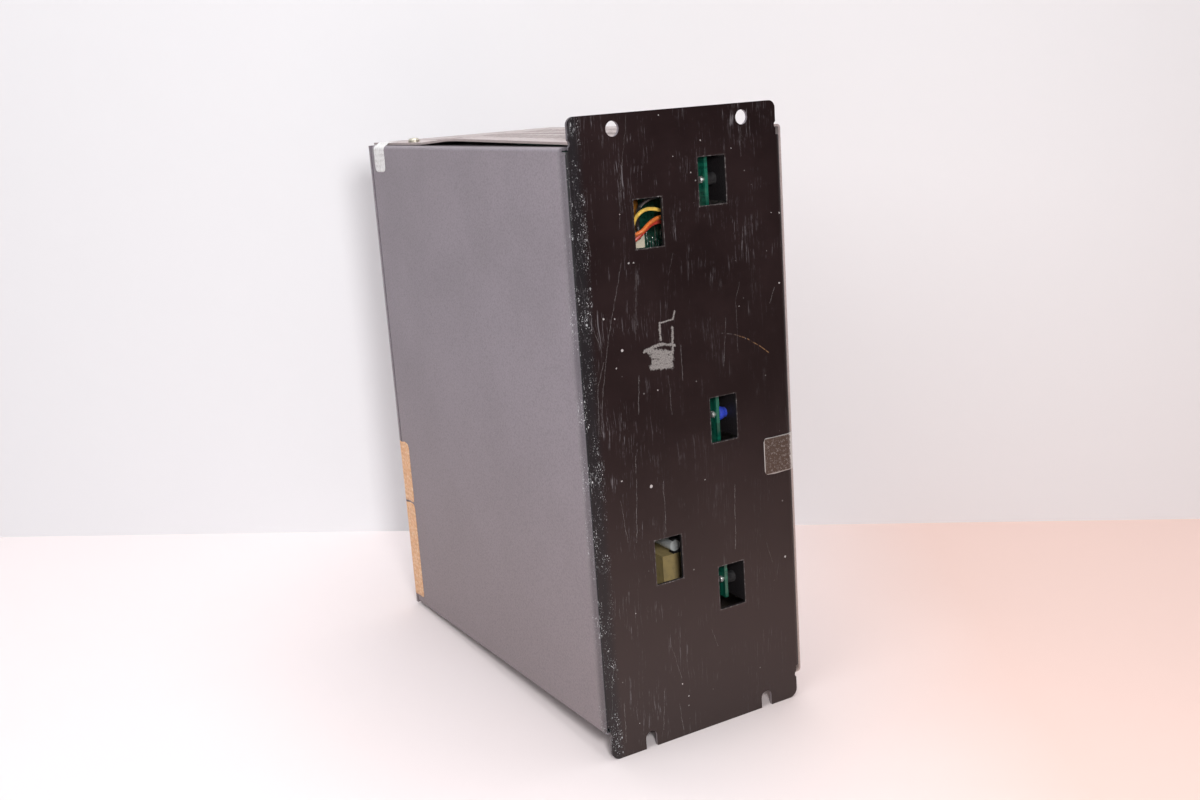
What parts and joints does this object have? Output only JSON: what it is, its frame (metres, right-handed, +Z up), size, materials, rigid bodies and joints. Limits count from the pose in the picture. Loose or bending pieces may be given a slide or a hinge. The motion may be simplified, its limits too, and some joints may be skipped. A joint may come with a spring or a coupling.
{
  "type": "enclosed panel-mount power supply",
  "caption": "Tall slim enclosed power supply with a flanged rear mounting plate, vented wrap cover, front terminals under a hinged clear guard, and its circuit boards inside.",
  "frame": {"origin": "on the outer face of the rear mounting plate, midway across it and halfway up the case", "axes": "+Z up, +Y out of the rear mounting face towards the panel it is fixed to, -Y out of the front panel"},
  "size_m": [0.1083, 0.22, 0.2739],
  "materials": {
    "black_paint": "satin, scuffed",
    "cover_paint": "satin, scuffed",
    "zinc": "yellowed zinc plating",
    "board": "solder-mask green",
    "aluminium": "mill finish",
    "ferrite": "matt dark grey",
    "amber_tape": "translucent tape",
    "nylon": "off-white",
    "yellow_plastic": "gloss",
    "black_plastic": "matt",
    "blue_plastic": "gloss",
    "red_plastic": "matt",
    "orange_plastic": "matt",
    "brown_plastic": "matt",
    "green_plastic": "matt",
    "green_lens": "clear tinted",
    "clear_plastic": "clear",
    "glass": "clear",
    "copper": "enamelled winding"
  },
  "bodies": {
    "case": {"chassis": "black_paint", "wrap_cover": "cover_paint", "front_panel": "black_paint", "front_panel_screw_1": "zinc", "front_panel_screw_2": "zinc", "front_panel_screw_3": "zinc", "front_panel_screw_4": "zinc", "cover_screw_top": "zinc", "cover_screw_bottom_1": "zinc", "cover_screw_bottom_2": "zinc", "control_board": "board", "board_spacer_1": "black_plastic", "board_screw_1": "zinc", "board_spacer_2": "blue_plastic", "board_screw_2": "zinc", "board_spacer_3": "black_plastic", "board_screw_3": "zinc", "control_chip": "black_plastic", "control_header": "nylon", "heat_sink": "aluminium", "heat_sink_screw_1": "zinc", "heat_sink_screw_2": "zinc", "power_board": "board", "power_standoff_1": "zinc", "power_standoff_2": "zinc", "power_standoff_3": "zinc", "power_standoff_4": "zinc", "transformer_bobbin": "nylon", "transformer_coil": "amber_tape", "transformer_core": "ferrite", "film_capacitor": "yellow_plastic", "fuse_holder": "black_plastic", "board_fuse": "glass", "bulk_capacitor": "black_plastic", "output_capacitor": "blue_plastic", "bridge_rectifier": "black_plastic", "output_choke": "copper", "power_transistor_1": "black_plastic", "power_transistor_2": "black_plastic", "harness_wire_black": "black_plastic", "harness_wire_yellow": "yellow_plastic", "harness_wire_orange": "orange_plastic", "harness_wire_red": "red_plastic", "harness_wire_white": "nylon", "output_wire_plus": "red_plastic", "output_wire_minus": "black_plastic", "earth_wire": "green_plastic", "input_wire_neutral": "blue_plastic", "input_wire_line": "brown_plastic", "terminal_block": "black_plastic", "terminal_screw_1": "zinc", "terminal_screw_2": "zinc", "terminal_screw_3": "zinc", "terminal_screw_4": "zinc", "terminal_screw_5": "zinc", "guard_pin": "zinc", "trimmer_body": "blue_plastic", "indicator_lamp": "green_lens"},
    "guard": {"terminal_guard": "clear_plastic"},
    "rotor": {"trimmer_rotor": "nylon"}
  },
  "joints": [
    {"name": "guard_hinge", "type": "hinge", "parent": "case", "child": "guard", "pos_m": [0, -0.2158, -0.084], "axis": [-1, 0, 0], "range_deg": [0, 110]},
    {"name": "trimmer_turn", "type": "hinge", "parent": "case", "child": "rotor", "pos_m": [-0.024, -0.197, -0.045], "axis": [0, -1, 0], "range_deg": [-135, 135]}
  ]
}
